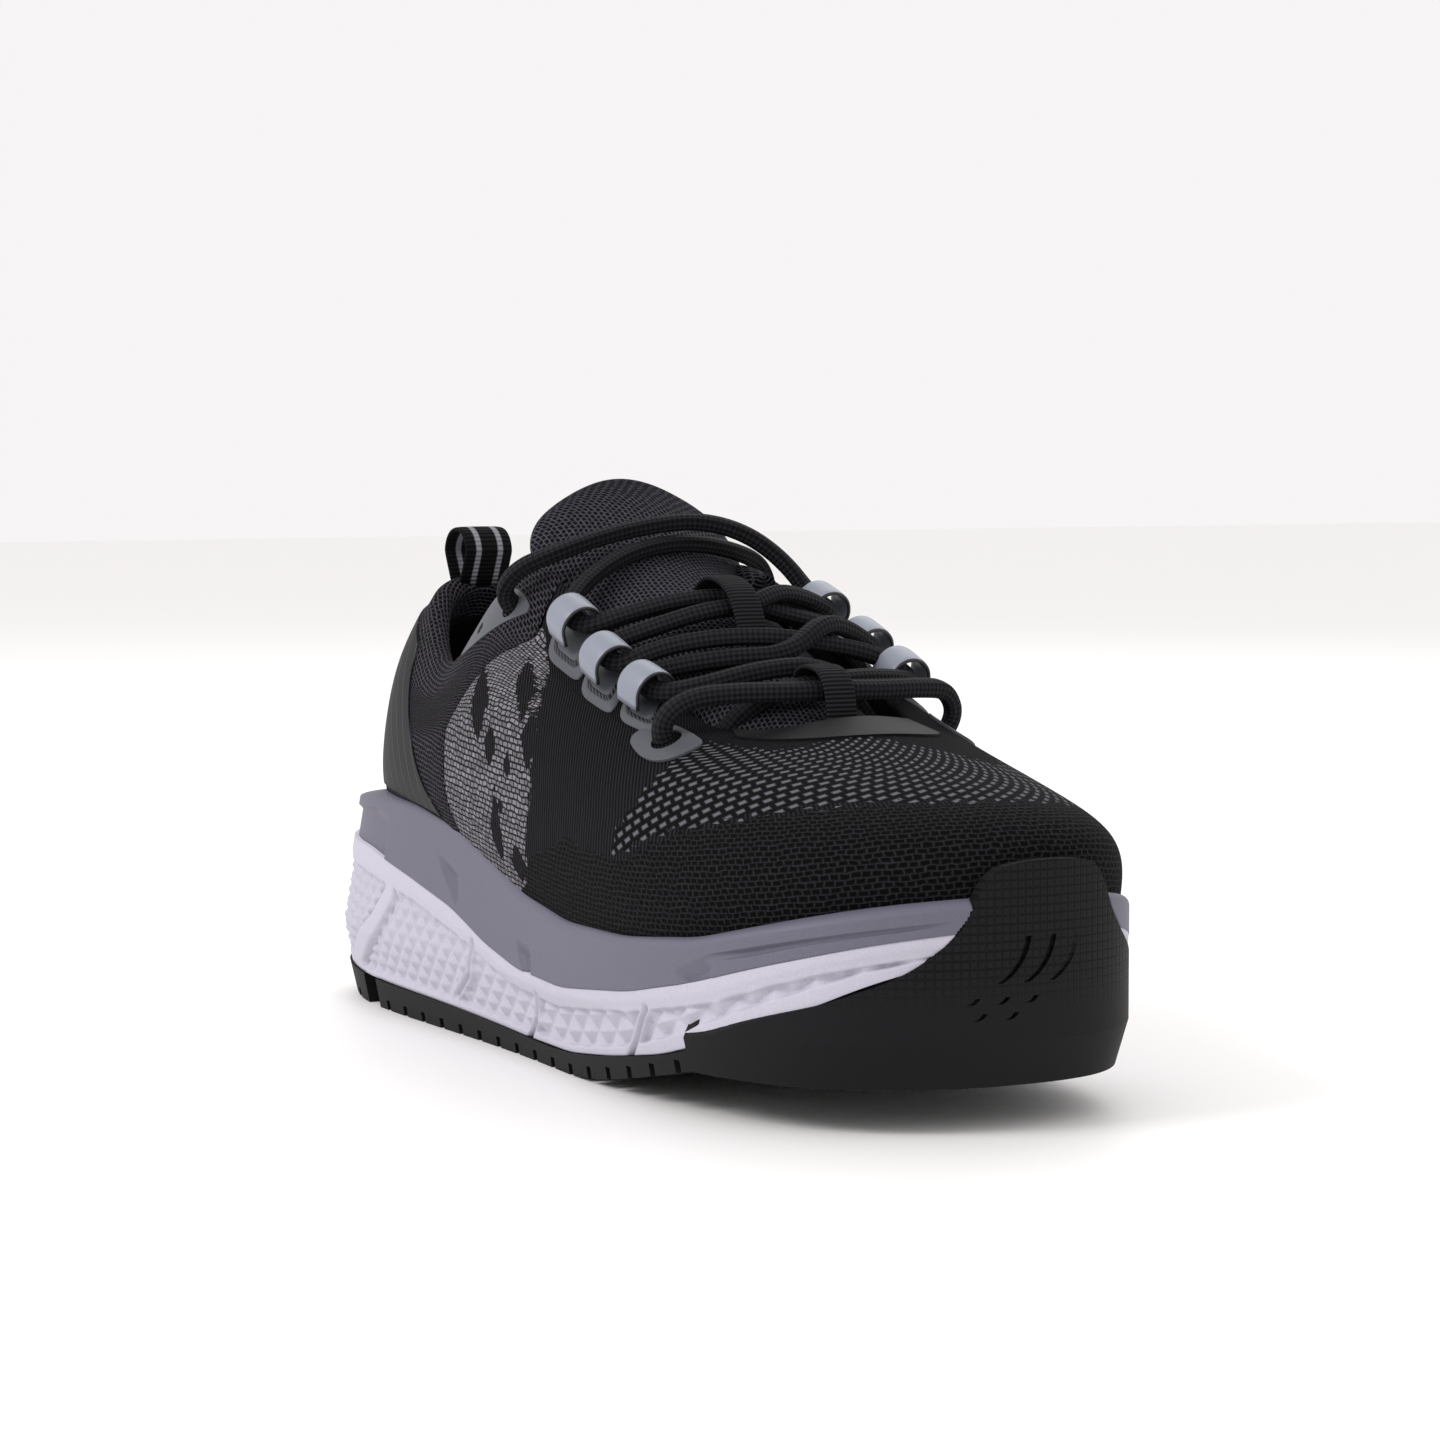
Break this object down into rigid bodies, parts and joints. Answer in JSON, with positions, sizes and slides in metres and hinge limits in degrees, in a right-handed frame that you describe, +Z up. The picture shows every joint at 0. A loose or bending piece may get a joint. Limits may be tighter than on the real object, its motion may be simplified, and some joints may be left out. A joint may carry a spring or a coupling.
{
  "type": "running shoe",
  "caption": "Low-cut right running shoe: knit upper with padded collar and tongue, one lace through loops, two-tone foam midsole and rubber outsole with a toe bumper.",
  "frame": {"origin": "middle of the bounding box, on the ground", "axes": "+X to the toe, +Z up, +Y to the inner side of the foot (right shoe)"},
  "size_m": [0.3, 0.109, 0.1407],
  "materials": {
    "outsole_rubber": "matte moulded",
    "white_foam": "moulded foam",
    "grey_foam": "moulded foam",
    "board": "pressed fibre",
    "insole_foam": "open-cell foam",
    "lining_fabric": "brushed knit",
    "knit": "engineered knit",
    "stiffener": "heat-formed sheet",
    "collar_mesh": "sandwich mesh",
    "padding": "soft foam",
    "dark_film": "welded film",
    "grey_film": "satin film",
    "tongue_mesh": "knitted mesh",
    "webbing": "woven tape",
    "lace_cord": "braided cord",
    "aglet": "shrunk film"
  },
  "bodies": {
    "root": {"outsole": "outsole_rubber", "heel_pad": "outsole_rubber", "midsole_cushion": "white_foam", "midsole_cradle": "grey_foam", "lasting_board": "board", "insole_foam": "insole_foam", "insole_cover": "lining_fabric", "vamp_knit": "knit", "toe_puff": "stiffener", "vamp_lining": "lining_fabric", "collar_mesh": "collar_mesh", "heel_counter": "stiffener", "collar_foam": "padding", "heel_lining": "lining_fabric", "heel_clip": "dark_film", "throat_film": "dark_film", "top_eyelet_outer": "grey_film", "top_eyelet_inner": "grey_film", "low_eyelet_outer": "grey_film", "low_eyelet_inner": "grey_film", "lace_loops_outer": "grey_film", "lace_loops_inner": "grey_film", "loop_tabs_outer": "grey_film", "loop_tabs_inner": "grey_film", "tongue_face": "tongue_mesh", "tongue_foam": "padding", "tongue_lining": "lining_fabric", "tongue_keeper_upper": "webbing", "tongue_keeper_lower": "webbing", "lace": "lace_cord", "aglet_outer": "aglet", "aglet_inner": "aglet"},
    "tongue_flap": {"tongue_flap_face": "tongue_mesh", "tongue_flap_foam": "padding", "tongue_flap_lining": "lining_fabric"},
    "pull_loop": {"pull_loop": "webbing"}
  },
  "joints": [
    {"name": "tongue_fold", "type": "hinge", "parent": "root", "child": "tongue_flap", "pos_m": [-0.0207, 0, 0.127], "axis": [0, 1, 0], "range_deg": [0, 40], "stiffness_Nm_per_rad": 0.02},
    {"name": "pull_loop_swing", "type": "hinge", "parent": "root", "child": "pull_loop", "pos_m": [-0.11, 0, 0.1135], "axis": [0, 1, 0], "range_deg": [-35, 35], "stiffness_Nm_per_rad": 0.004}
  ]
}
